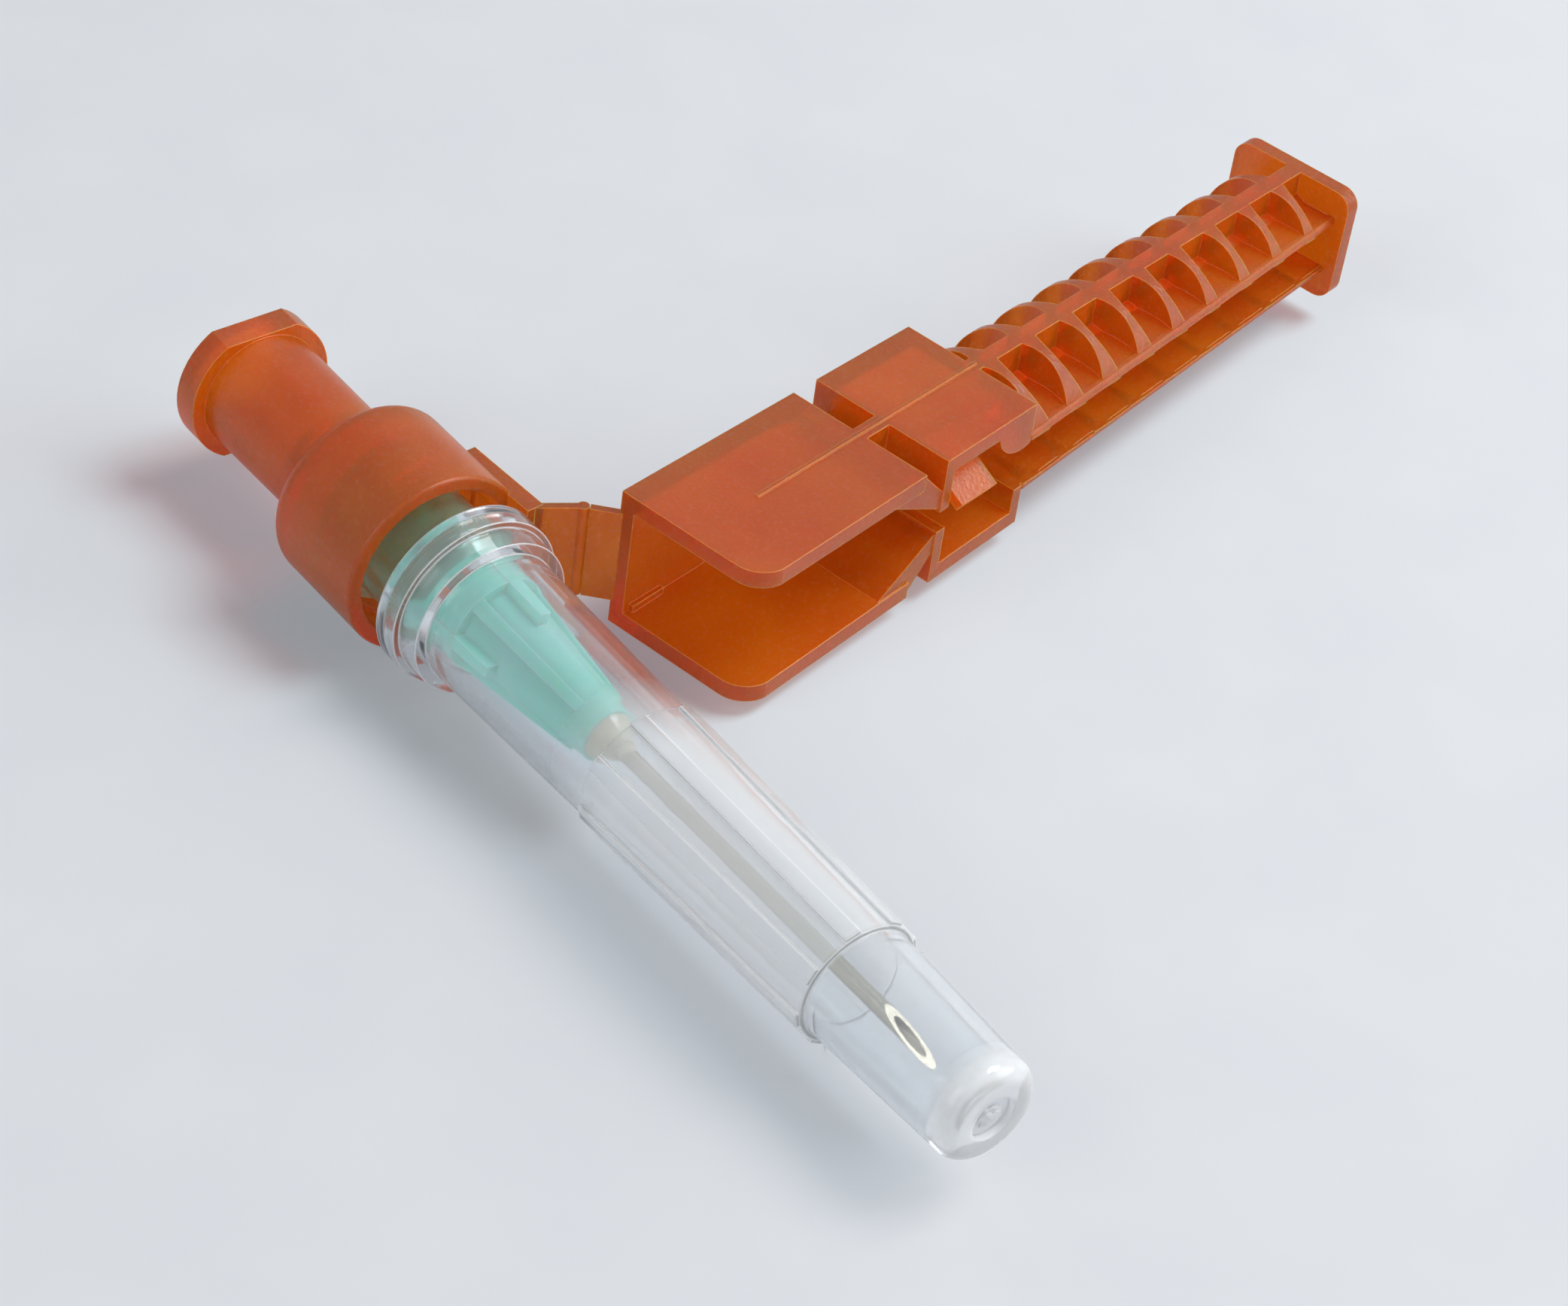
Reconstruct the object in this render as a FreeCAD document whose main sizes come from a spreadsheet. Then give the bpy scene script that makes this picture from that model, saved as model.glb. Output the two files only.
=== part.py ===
import FreeCAD, Part
import math
import os
import Sketcher
from FreeCAD import Placement, Rotation, Vector

# Safety hypodermic needle, swung open and capped, in millimetres.
# +X runs along the needle towards its tip, +Z is up, and the guard's hinge is on the +Y side.
# The origin is the centre of the female luer mouth.

doc = FreeCAD.newDocument("safety_needle")
sheet = doc.addObject("Spreadsheet::Sheet", "Sizes")

SIZES = [
    # the luer end and the barrel
    ("mouth_r", 2.14, "luer socket radius on its mouth land"),
    ("mouth_land", 2.0, "length of the straight land at the mouth"),
    ("socket_depth", 7.6, "depth of the luer socket"),
    ("socket_end_r", 1.93, "luer socket radius at its floor"),
    ("flow_r", 0.8, "radius of the flow passage"),
    ("barrel_r", 3.25, "barrel radius at the mouth"),
    ("barrel_end_r", 3.15, "barrel radius where it meets the collar"),
    ("ear_r", 3.92, "radius across the luer ears"),
    ("ear_long", 1.5, "length of an ear along the needle"),
    ("ear_up", 0.12, "how far the mouth flange's flats stand over the barrel"),
    # the collar
    ("collar_rear", 10.1, "where the collar starts"),
    ("collar_front", 17.0, "the collar's rim"),
    ("collar_r", 4.94, "collar outer radius"),
    ("collar_bore_r", 4.12, "collar inner radius"),
    ("collar_floor", 11.3, "bottom of the collar's bore"),
    ("shoulder", 0.8, "rounding of the collar's rear edge"),
    ("rim_round", 0.2, "rounding of the collar's rim"),
    ("thread_high", 0.22, "how far the lock thread stands in"),
    ("thread_wide", 0.9, "width of the lock thread"),
    ("thread_lead", 5.0, "lead of the lock thread"),
    ("thread_start", 12.6, "where the lock thread starts"),
    ("male_tip", 18.3, "end of the male luer cone"),
    ("male_tip_r", 1.98, "male luer radius at its tip"),
    ("male_root_r", 2.19, "male luer radius at its root"),
    # the arm and the living hinge
    ("arm_start", 13.2, "where the arm leaves the collar"),
    ("arm_end", 18.45, "end of the arm"),
    ("arm_in", 4.2, "the arm's end, from the needle axis to its middle"),
    ("arm_out", 4.55, "the arm's middle line at its end"),
    ("arm_thick", 0.95, "arm thickness"),
    ("strap_half", 2.68, "half of the hinge strap's height"),
    ("film", 0.4, "thickness of the hinge film"),
    ("crease_r", 0.3, "radius of the bead along the crease"),
    ("hinge_x", 19.43, "the crease along the needle"),
    ("hinge_y", 6.67, "the crease out from the needle"),
    ("hinge_gap", 0.02, "gap between the crease bead and the guard's film"),
    ("open_angle", 101.34, "how far the guard is swung open, in degrees"),
    # the guard, measured from the crease: along it, out from it, and up
    ("near_end", 0.9, "near end of the hub section"),
    ("wide_end", 13.2, "far end of the hub section's plates"),
    ("block_start", 14.9, "near end of the block"),
    ("block_end", 22.0, "far end of the block"),
    ("far_end", 50.9, "far face of the end plate"),
    ("back_out", 1.53, "the back wall out from the crease"),
    ("half_w", 4.47, "half of the guard's depth at its near end"),
    ("half_h", 4.03, "half of the guard's height at its near end"),
    ("draft", 0.0127, "narrowing of every outer side per millimetre of length"),
    ("plate", 0.95, "thickness of the guard's plates"),
    ("wall", 0.85, "thickness of the guard's back wall"),
    ("corner_r", 1.7, "rounding of the plates' free corners"),
    ("ramp_start", 10.9, "where the funnel ramps start"),
    ("ramp_thick", 0.95, "thickness of the funnel ramps"),
    ("neck_in", 0.85, "how far the neck's back is set in"),
    ("throat", 0.65, "half of the slot at the neck and the block's near wall"),
    ("block_plate", 0.9, "thickness of the block's top and base"),
    ("web", 0.65, "thickness of the block's end walls"),
    ("latch_at", 15.8, "near side of the latch tab along the guard"),
    ("latch_long", 2.7, "length of the latch tab"),
    ("latch_low", 0.5, "height of the latch tab's lower edge over the needle axis"),
    ("latch_out", 0.35, "how far the latch tab's edge stands out of the block"),
    ("latch_deep", 3.2, "how far in the latch tab's root is"),
    ("latch_thick", 0.6, "thickness of the latch tab"),
    ("boss_r", 2.2, "radius of the rounded bulge under the block's top"),
    ("boss_low", 1.25, "height of the bulge's lowest point over the needle axis"),
    ("boss_deep", 1.6, "depth of the bulge"),
    ("slot", 1.4, "half of the channel's slot"),
    ("core_wall", 0.65, "wall of the channel's core round its slot"),
    ("spine_half", 0.47, "half of the spine's width"),
    ("lip_high", 0.35, "thickness of the slot's lips"),
    ("lip_in", 0.13, "how far the lips stay inside the full depth at the block"),
    ("lip_end_in", 0.9, "how far the lips stay inside the full depth at the end plate"),
    ("rib_first", 22.9, "the first rib along the guard"),
    ("rib_pitch", 3.1, "distance between ribs"),
    ("rib_thick", 1.5, "rib thickness at the lips"),
    ("rib_waist", 0.5, "rib thickness where it is thinnest"),
    ("scoop_r", 4.2, "radius of the scoops that thin the ribs"),
    ("scoop_out", 2.0, "the scoops' centres out from the spine's middle"),
    ("end_plate", 0.9, "thickness of the end plate"),
    ("end_corner", 1.0, "rounding of the end plate's corners"),
    ("centre_line", 0.1, "height of the raised line on the hub section"),
    ("centre_line_half", 0.11, "half of the raised line's width"),
    # the hub
    ("hub_rear", 12.5, "rear face of the hub"),
    ("lug_end", 14.2, "end of the hub's lugs"),
    ("lug_r", 3.84, "radius across the hub's lugs"),
    ("lug_half", 2.7, "half of a lug's height"),
    ("hub_skirt_r", 3.25, "hub radius behind the cap"),
    ("hub_skirt_end", 19.3, "where the hub starts to narrow"),
    ("hub_seat_r", 2.72, "hub radius inside the cap"),
    ("hub_seat", 20.4, "where the hub reaches that radius"),
    ("hub_step", 22.6, "the step in the hub"),
    ("hub_neck_r", 2.2, "hub radius after the step"),
    ("hub_nose", 31.3, "the hub's nose face"),
    ("hub_nose_r", 1.45, "hub radius at its nose"),
    ("fin_short", 1.1, "how far behind the nose the long fins run out"),
    ("fin_r", 2.76, "radius of the fins at the step"),
    ("fin_end_r", 1.7, "radius of the long fins where they run out"),
    ("short_fin_end", 25.2, "end of the short fins"),
    ("fin_thick", 0.75, "fin thickness"),
    ("well_r", 1.0, "radius of the adhesive well"),
    ("well_deep", 2.1, "depth of the adhesive well"),
    ("bead_long", 1.2, "how far the adhesive bead stands out of the hub's nose"),
    # the cannula
    ("cannula_r", 0.41, "cannula outer radius"),
    ("lumen_r", 0.26, "cannula bore radius"),
    ("cannula_rear", 21.0, "inner end of the cannula"),
    ("cannula_tip", 55.2, "point of the cannula"),
    ("bevel_angle", 13.0, "bevel angle, in degrees"),
    # the cap
    ("cap_rear", 18.94, "the cap's open end"),
    ("flange_r", 4.66, "radius of the cap's flange"),
    ("flange_end", 20.3, "end of the flange"),
    ("tier_r", 4.3, "radius of the flange's second tier"),
    ("tier_end", 21.6, "end of the second tier"),
    ("cap_r", 3.66, "cap radius after the flange"),
    ("grip_start", 33.85, "where the ridged part starts"),
    ("cap_mid_r", 3.38, "cap radius before the ridged part"),
    ("grip_end", 49.6, "where the ridged part ends"),
    ("cap_late_r", 3.02, "cap radius at the end of the ridged part"),
    ("grip_up", 0.13, "how far the ridged part stands out"),
    ("ridge_up", 0.17, "how far a ridge stands out further"),
    ("ridge_wide", 0.85, "ridge width"),
    ("tip_r", 2.92, "cap radius after the ridged part"),
    ("tip_end_r", 2.62, "cap radius at its tip"),
    ("cap_room", 2.1, "room between the needle's point and the cap's floor"),
    ("tip_round", 0.85, "rounding of the cap's tip"),
    ("gate_r", 1.15, "radius of the recess in the tip"),
    ("gate_deep", 0.35, "depth of the recess"),
    ("cap_wall", 0.68, "cap wall"),
    ("cap_floor", 1.6, "thickness of the cap's closed end"),
    ("cap_mouth_r", 3.6, "cap inner radius at its open end"),
]

for row, (word, number, meaning) in enumerate(SIZES, start=1):
    sheet.set(f"A{row}", meaning)
    sheet.set(f"B{row}", str(number))
    sheet.setAlias(f"B{row}", word)
doc.recompute()


class Size:
    """A number with the sheet expression that gives it."""

    def __init__(self, text, number):
        self.text = text
        self.number = number

    def __add__(self, other):
        other = as_size(other)
        return Size(f"({self.text} + {other.text})", self.number + other.number)

    def __sub__(self, other):
        other = as_size(other)
        return Size(f"({self.text} - {other.text})", self.number - other.number)

    def __mul__(self, other):
        other = as_size(other)
        return Size(f"({self.text} * {other.text})", self.number * other.number)

    def __truediv__(self, other):
        other = as_size(other)
        return Size(f"({self.text} / {other.text})", self.number / other.number)

    def __neg__(self):
        return Size(f"(-1 * {self.text})", -self.number)

    __radd__ = __add__
    __rmul__ = __mul__


def as_size(value):
    return value if isinstance(value, Size) else Size(repr(float(value)), float(value))


class Table:
    """T.word is the size on the sheet with that alias."""

    def __getattr__(self, word):
        return Size("Sizes." + word, float(sheet.get(word)))


T = Table()


def length_of(a, b):
    return Size(f"sqrt({a.text} * {a.text} + {b.text} * {b.text})", math.hypot(a.number, b.number))


def heading(along, across):
    angle = math.degrees(math.atan2(across.number, along.number))
    return Size(f"atan2({across.text}; {along.text})", angle)


def bind(item, prop, size):
    item.setExpression(prop, as_size(size).text)


def place(item, x, y, z):
    for axis, size in zip("xyz", (x, y, z)):
        bind(item, f"Placement.Base.{axis}", size)


def box(name, low, high):
    item = doc.addObject("Part::Box", name)
    low = [as_size(value) for value in low]
    high = [as_size(value) for value in high]
    for prop, a, b in zip(("Length", "Width", "Height"), low, high):
        bind(item, prop, b - a)
    place(item, *low)
    return item


def wedge(name, y0, y1, near, far):
    """A tapered bar along +Y. near and far are its x0, x1, z0, z1 at its two ends."""
    item = doc.addObject("Part::Wedge", name)
    names = ("Xmin", "Xmax", "Zmin", "Zmax", "X2min", "X2max", "Z2min", "Z2max")
    for prop, size in zip(names, tuple(near) + tuple(far)):
        bind(item, prop, size)
    bind(item, "Ymin", y0)
    bind(item, "Ymax", y1)
    return item


def round_bar(name, start, long, r0, r1, turn):
    """A cone or cylinder from start, turned from +Z by turn."""
    same = abs(as_size(r0).number - as_size(r1).number) < 1e-9
    item = doc.addObject("Part::Cylinder" if same else "Part::Cone", name)
    bind(item, "Height", long)
    if same:
        bind(item, "Radius", r0)
    else:
        bind(item, "Radius1", r0)
        bind(item, "Radius2", r1)
    item.Placement = Placement(Vector(0, 0, 0), turn)
    place(item, *start)
    return item


ALONG_X = Rotation(Vector(0, 1, 0), 90)
ALONG_Y = Rotation(Vector(1, 0, 0), -90)
ALONG_Z = Rotation()


def slab(name, start, end, thick, z0, z1):
    """An upright plate of even thickness between two points of the plan."""
    item = doc.addObject("Part::Box", name)
    dx = as_size(end[0]) - start[0]
    dy = as_size(end[1]) - start[1]
    far = length_of(dx, dy)
    bind(item, "Length", far)
    bind(item, "Width", thick)
    bind(item, "Height", as_size(z1) - z0)
    item.Placement = Placement(Vector(0, 0, 0), Rotation(Vector(0, 0, 1), 1))
    bind(item, "Placement.Rotation.Angle", heading(dx, dy))
    place(
        item,
        as_size(start[0]) + as_size(thick) * dy / far / 2,
        as_size(start[1]) - as_size(thick) * dx / far / 2,
        z0,
    )
    return item


def joined(name, items):
    item = doc.addObject("Part::MultiFuse", name)
    item.Shapes = items
    item.Refine = True
    return item


def cut(name, base, tool):
    item = doc.addObject("Part::Cut", name)
    item.Base = base
    item.Tool = tool
    item.Refine = True
    return item


def shared(name, items):
    item = doc.addObject("Part::MultiCommon", name)
    item.Shapes = items
    item.Refine = True
    return item


def origin_plane(body, role):
    for feature in body.Origin.OriginFeatures:
        if feature.Role == role:
            return feature
    raise ValueError(role)


def turned(name, points):
    """A solid of revolution about X. Each point is its station and its radius."""
    body = doc.addObject("PartDesign::Body", name)
    sketch = body.newObject("Sketcher::SketchObject", name + "_profile")
    sketch.AttachmentSupport = (origin_plane(body, "XY_Plane"), [""])
    sketch.MapMode = "FlatFace"
    points = [(as_size(x), as_size(r)) for x, r in points]
    count = len(points)
    for i in range(count):
        a = points[i]
        b = points[(i + 1) % count]
        line = Part.LineSegment(Vector(a[0].number, a[1].number, 0), Vector(b[0].number, b[1].number, 0))
        sketch.addGeometry(line, False)
    for i in range(count):
        sketch.addConstraint(Sketcher.Constraint("Coincident", i, 2, (i + 1) % count, 1))
    for i, (x, r) in enumerate(points):
        if abs(x.number) < 1e-9:
            sketch.addConstraint(Sketcher.Constraint("PointOnObject", i, 1, -2))
        else:
            n = sketch.addConstraint(Sketcher.Constraint("DistanceX", -1, 1, i, 1, x.number))
            sketch.setExpression(f"Constraints[{n}]", x.text)
        if abs(r.number) < 1e-9:
            sketch.addConstraint(Sketcher.Constraint("PointOnObject", i, 1, -1))
        else:
            n = sketch.addConstraint(Sketcher.Constraint("DistanceY", -1, 1, i, 1, r.number))
            sketch.setExpression(f"Constraints[{n}]", r.text)
    turn = body.newObject("PartDesign::Revolution", name + "_turn")
    turn.Profile = sketch
    turn.ReferenceAxis = (sketch, ["H_Axis"])
    turn.Angle = 360
    body.Tip = turn
    doc.recompute()
    return body


def round_off(body, radius, rings):
    """Round the circular edges of the body's last feature at these stations and radii."""
    base = body.Tip
    names = []
    for number, edge in enumerate(base.Shape.Edges, start=1):
        curve = edge.Curve
        if not isinstance(curve, Part.Circle):
            continue
        for x, r in rings:
            there = abs(curve.Center.x - as_size(x).number) < 1e-4
            if there and abs(curve.Radius - as_size(r).number) < 1e-4:
                names.append(f"Edge{number}")
    fillet = body.newObject("PartDesign::Fillet", f"{body.Name}_round_{len(body.Group)}")
    fillet.Base = (base, names)
    bind(fillet, "Radius", radius)
    body.Tip = fillet
    doc.recompute()
    return fillet


# The adapter: ears, barrel, collar and the male luer cone in the collar.

adapter_turned = turned(
    "adapter_body",
    [
        (0, T.mouth_r),
        (0, T.barrel_r),
        (T.collar_rear, T.barrel_end_r),
        (T.collar_rear, T.collar_r),
        (T.collar_front, T.collar_r),
        (T.collar_front, T.collar_bore_r),
        (T.collar_floor, T.collar_bore_r),
        (T.collar_floor, T.male_root_r),
        (T.male_tip, T.male_tip_r),
        (T.male_tip, T.flow_r),
        (T.socket_depth, T.flow_r),
        (T.socket_depth, T.socket_end_r),
        (T.mouth_land, T.mouth_r),
    ],
)
round_off(adapter_turned, T.shoulder, [(T.collar_rear, T.collar_r)])
round_off(adapter_turned, T.rim_round, [(T.collar_front, T.collar_r), (T.collar_front, T.collar_bore_r)])

ear_disc = round_bar("ear_disc", (0, 0, 0), T.ear_long, T.ear_r, T.ear_r, ALONG_X)
ear_half = T.barrel_r + T.ear_up
ear_slab = box("ear_slab", (-1, -T.ear_r - 1, -ear_half), (T.ear_long + 1, T.ear_r + 1, ear_half))
ears = shared("ears", [ear_disc, ear_slab])

arm = slab(
    "arm",
    (T.arm_start, T.arm_in),
    (T.arm_end, T.arm_out),
    T.arm_thick,
    -T.strap_half,
    T.strap_half,
)
adapter_outside = joined("adapter_outside", [adapter_turned, ears, arm])
arm_relief = round_bar(
    "arm_relief",
    (T.collar_floor, 0, 0),
    T.collar_front - T.collar_floor + 4,
    T.collar_bore_r,
    T.collar_bore_r,
    ALONG_X,
)
male_keep = round_bar(
    "male_keep",
    (T.collar_floor - 0.5, 0, 0),
    T.collar_front - T.collar_floor + 5,
    T.male_root_r + 0.5,
    T.male_root_r + 0.5,
    ALONG_X,
)
arm_clear = cut("arm_clear", arm_relief, male_keep)
adapter_open = cut("adapter_open", adapter_outside, arm_clear)
mouth_tool = round_bar("mouth_tool", (-1, 0, 0), T.mouth_land + 1, T.mouth_r, T.mouth_r, ALONG_X)
adapter_plain = cut("adapter_plain", adapter_open, mouth_tool)


def thread_ridge(start_angle):
    """One start of the lock thread: a low ridge on the collar's bore, along a helix about X."""
    radius = T.collar_bore_r.number
    high = T.thread_high.number
    wide = T.thread_wide.number
    lead = T.thread_lead.number
    start = T.thread_start.number
    turns = 0.55
    helix = Part.makeHelix(lead, lead * turns, radius)
    helix.rotate(Vector(0, 0, 0), Vector(0, 1, 0), 90)
    helix.rotate(Vector(0, 0, 0), Vector(1, 0, 0), start_angle)
    helix.translate(Vector(start, 0, 0))
    spine = Part.Wire(helix.Edges)
    first = spine.Edges[0].valueAt(spine.Edges[0].FirstParameter)
    out = Vector(0, first.y, first.z).normalize()
    corners = [
        first + out * 0.15 + Vector(-wide / 2, 0, 0),
        first + out * 0.15 + Vector(wide / 2, 0, 0),
        first - out * high + Vector(wide / 4, 0, 0),
        first - out * high + Vector(-wide / 4, 0, 0),
    ]
    outline = Part.makePolygon(corners + [corners[0]])
    return spine.makePipeShell([outline], True, True)


thread = doc.addObject("Part::Feature", "lock_thread")
thread.Shape = Part.makeCompound([thread_ridge(0), thread_ridge(180)])
luer_adapter = doc.addObject("Part::MultiFuse", "luer_adapter")
luer_adapter.Shapes = [adapter_plain, thread]

# The hinge film's fixed half, with the bead along the crease.

strap_plate = slab(
    "strap_plate",
    (T.arm_end - 0.2, T.arm_out),
    (T.hinge_x, T.hinge_y),
    T.film,
    -T.strap_half,
    T.strap_half,
)
crease = round_bar(
    "crease",
    (T.hinge_x, T.hinge_y, -T.strap_half),
    T.strap_half * 2,
    T.crease_r,
    T.crease_r,
    ALONG_Z,
)
strap_whole = joined("strap_whole", [strap_plate, crease])
arm_copy = slab(
    "arm_copy",
    (T.arm_start, T.arm_in),
    (T.arm_end, T.arm_out),
    T.arm_thick,
    -T.strap_half - 1,
    T.strap_half + 1,
)
hinge_strap = cut("hinge_strap", strap_whole, arm_copy)

# The needle guard, modelled with its crease on the local Z axis, its length along +Y and its open side
# towards +X, then swung open.

MID = T.back_out + T.half_w


def narrowed(size, station):
    return size - T.draft * (as_size(station) - T.near_end)


def back(station, inset=0):
    return MID - narrowed(T.half_w, station) + inset


def front(station, inset=0):
    return MID + narrowed(T.half_w, station) - inset


def top(station, inset=0):
    return narrowed(T.half_h, station) - inset


def section(station, back_in=0, front_in=0, base_in=0, top_in=0):
    return (back(station, back_in), front(station, front_in), -top(station, base_in), top(station, top_in))


def bar(name, y0, y1, **insets):
    return wedge(name, y0, y1, section(y0, **insets), section(y1, **insets))


def mirrored_pair(name, y0, y1, near, far):
    """The same bar over and under the needle's plane. near and far are x0, x1, z0, z1 of the upper one."""
    upper = wedge(name + "_upper", y0, y1, near, far)
    flip = [(x0, x1, -as_size(z1), -as_size(z0)) for x0, x1, z0, z1 in (near, far)]
    lower = wedge(name + "_lower", y0, y1, flip[0], flip[1])
    return [upper, lower]


hub_shell = bar("hub_shell", T.near_end, T.wide_end)
hub_space = bar(
    "hub_space",
    T.near_end - 1,
    T.wide_end + 1,
    back_in=T.wall,
    front_in=-1,
    base_in=T.plate,
    top_in=T.plate,
)
hub_section = cut("hub_section", hub_shell, hub_space)

corner_box = box(
    "corner_box",
    (front(T.near_end) - T.corner_r, T.near_end - 1, -T.half_h - 1),
    (front(T.near_end) + 1, T.near_end + T.corner_r, T.half_h + 1),
)
corner_post = round_bar(
    "corner_post",
    (front(T.near_end) - T.corner_r, T.near_end + T.corner_r, -T.half_h - 2),
    T.half_h * 2 + 4,
    T.corner_r,
    T.corner_r,
    ALONG_Z,
)
corner_waste = cut("corner_waste", corner_box, corner_post)
hub_part = cut("hub_part", hub_section, corner_waste)

ramp_far = T.block_start + 0.3
ramps = mirrored_pair(
    "ramp",
    T.ramp_start,
    ramp_far,
    (
        back(T.ramp_start, T.neck_in),
        front(T.ramp_start, 0.1),
        top(T.ramp_start, T.plate + 0.02),
        top(T.ramp_start, 0.06),
    ),
    (back(ramp_far, T.neck_in), front(ramp_far, 0.1), T.throat, T.throat + T.ramp_thick),
)
funnel_in = top(T.ramp_start, T.plate + 0.02)
funnel_fall = (funnel_in - T.throat) / (ramp_far - T.ramp_start)
shoulder_near = T.wide_end - 0.1
shoulders = mirrored_pair(
    "shoulder",
    shoulder_near,
    ramp_far,
    (
        back(shoulder_near, T.neck_in),
        front(shoulder_near, 0.1),
        funnel_in - funnel_fall * (shoulder_near - T.ramp_start),
        top(shoulder_near, 0.03),
    ),
    (back(ramp_far, T.neck_in), front(ramp_far, 0.1), T.throat, T.throat + T.ramp_thick),
)
neck_back = wedge(
    "neck_back",
    T.wide_end - 0.5,
    ramp_far,
    (back(T.wide_end, T.neck_in - 0.05), back(T.wide_end, T.neck_in + T.wall), -top(0, 1.2), top(0, 1.2)),
    (
        back(ramp_far, T.neck_in - 0.05),
        back(ramp_far, T.neck_in + T.wall),
        -T.throat - T.ramp_thick,
        T.throat + T.ramp_thick,
    ),
)
bridge = mirrored_pair(
    "bridge",
    T.wide_end - 0.5,
    ramp_far,
    (MID - T.spine_half, MID + T.spine_half, T.half_h - 2.2, top(T.wide_end)),
    (MID - T.spine_half, MID + T.spine_half, T.throat + 0.5, top(ramp_far)),
)

block_outside = bar("block_outside", T.block_start, T.block_end)
block_space = bar(
    "block_space",
    T.block_start + T.web,
    T.block_end - T.web,
    back_in=T.wall,
    front_in=-1,
    base_in=T.block_plate,
    top_in=T.block_plate,
)
block_shell = cut("block_shell", block_outside, block_space)
near_slot = box(
    "near_slot",
    (MID - 1.5, T.block_start - 1, -T.throat),
    (MID + T.half_w + 1, T.block_start + T.web + 0.1, T.throat),
)
far_slot = box(
    "far_slot",
    (MID - 1.5, T.block_end - T.web - 0.1, -T.slot),
    (MID + T.half_w + 1, T.block_end + 0.1, T.slot),
)
block_slots = joined("block_slots", [near_slot, far_slot])
block_cut = cut("block_cut", block_shell, block_slots)
# The latch tab slopes from the block's top down to its open side. Its underside is trimmed level, so
# that the needle passes below it.
latch_edge = front(T.latch_at, -T.latch_out)
latch_root = latch_edge - T.latch_deep
latch_high = top(T.latch_at, T.block_plate) + 0.1
latch_fall = latch_high - T.latch_low - T.latch_thick
latch_run = length_of(T.latch_deep, latch_fall)
latch_plate = doc.addObject("Part::Box", "latch_plate")
bind(latch_plate, "Length", latch_run)
bind(latch_plate, "Width", T.latch_long)
bind(latch_plate, "Height", T.latch_thick)
latch_plate.Placement = Placement(Vector(0, 0, 0), Rotation(Vector(0, 1, 0), 1))
bind(latch_plate, "Placement.Rotation.Angle", heading(T.latch_deep, latch_fall))
place(latch_plate, latch_root, T.latch_at, latch_high - T.latch_thick)
latch_trim = box(
    "latch_trim",
    (latch_root - 1, T.latch_at - 1, T.latch_low - 2),
    (latch_edge + 2, T.latch_at + T.latch_long + 1, T.latch_low),
)
latch = cut("latch", latch_plate, latch_trim)

# A rounded bulge carries the slot's upper lip up to the block's top.
boss_bar = round_bar(
    "boss_bar",
    (front(T.block_end, T.boss_deep), T.block_end - T.web, T.boss_low + T.boss_r),
    T.boss_deep + 1,
    T.boss_r,
    T.boss_r,
    ALONG_X,
)
boss_limit = bar("boss_limit", T.block_start + T.web, T.block_end - 0.05)
boss = shared("boss", [boss_bar, boss_limit])

# the ribbed channel


plate_near = T.far_end - T.end_plate
core_r = T.slot + T.core_wall
core_near = T.block_end - T.web
core = round_bar("core", (MID, core_near, 0), plate_near + 0.1 - core_near, core_r, core_r, ALONG_Y)
core_hole = round_bar(
    "core_hole", (MID, core_near - 0.3, 0), plate_near - core_near + 0.3, T.slot, T.slot, ALONG_Y
)


def lip_inset(station):
    """How far the lips stay inside the guard's full depth at this station."""
    share = (as_size(station) - T.block_end) / (T.far_end - T.block_end)
    return T.lip_in + (T.lip_end_in - T.lip_in) * share


def rib(number):
    """One rib: round over and under, as deep as the lips, and thinned by a scoop at each corner."""
    at = T.rib_first + T.rib_pitch * (number - 1)
    name = f"rib_{number}"
    high = top(at)
    lip_half = T.slot + T.lip_high
    reach = Size(
        f"sqrt({high.text} * {high.text} - {lip_half.text} * {lip_half.text})",
        math.sqrt(high.number**2 - lip_half.number**2),
    )
    shift = front(at, lip_inset(at)) - MID - reach
    low_side = Size(f"min(0; {shift.text})", min(0.0, shift.number))
    high_side = Size(f"max(0; {shift.text})", max(0.0, shift.number))
    near = at - T.rib_thick / 2
    rounds = [
        round_bar(name + "_back", (MID, near, 0), T.rib_thick, high, high, ALONG_Y),
        round_bar(name + "_front", (MID + shift, near, 0), T.rib_thick, high, high, ALONG_Y),
        box(name + "_middle", (MID + low_side, near, -high), (MID + high_side, near + T.rib_thick, high)),
    ]
    away = T.rib_waist / 2 + T.scoop_r
    scoops = []
    for word, out, along in (("a", 1, 1), ("b", 1, -1), ("c", -1, 1), ("d", -1, -1)):
        start = (MID + T.scoop_out * out, at + away * along, -high - 1)
        scoops.append(round_bar(f"{name}_scoop_{word}", start, high * 2 + 2, T.scoop_r, T.scoop_r, ALONG_Z))
    return cut(name, joined(name + "_rounds", rounds), joined(name + "_scoops", scoops))


ribs = [rib(number) for number in range(1, 10)]

spines = mirrored_pair(
    "spine",
    T.block_end - 0.2,
    T.far_end - 0.2,
    (MID - T.spine_half, MID + T.spine_half, core_r - 0.4, top(T.block_end)),
    (MID - T.spine_half, MID + T.spine_half, core_r - 0.4, top(T.far_end)),
)
lips = mirrored_pair(
    "lip",
    T.block_end - 0.2,
    T.far_end - 0.2,
    (MID + 0.3, front(T.block_end, T.lip_in), T.slot, T.slot + T.lip_high),
    (MID + 0.3, front(T.far_end, T.lip_end_in), T.slot, T.slot + T.lip_high),
)
channel_outside = joined("channel_outside", [core] + ribs + spines + lips)
channel_slot = box(
    "channel_slot",
    (MID, T.block_end - T.web - 0.2, -T.slot),
    (MID + T.half_w + 1, plate_near, T.slot),
)
channel_waste = joined("channel_waste", [core_hole, channel_slot])
channel = cut("channel", channel_outside, channel_waste)

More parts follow.
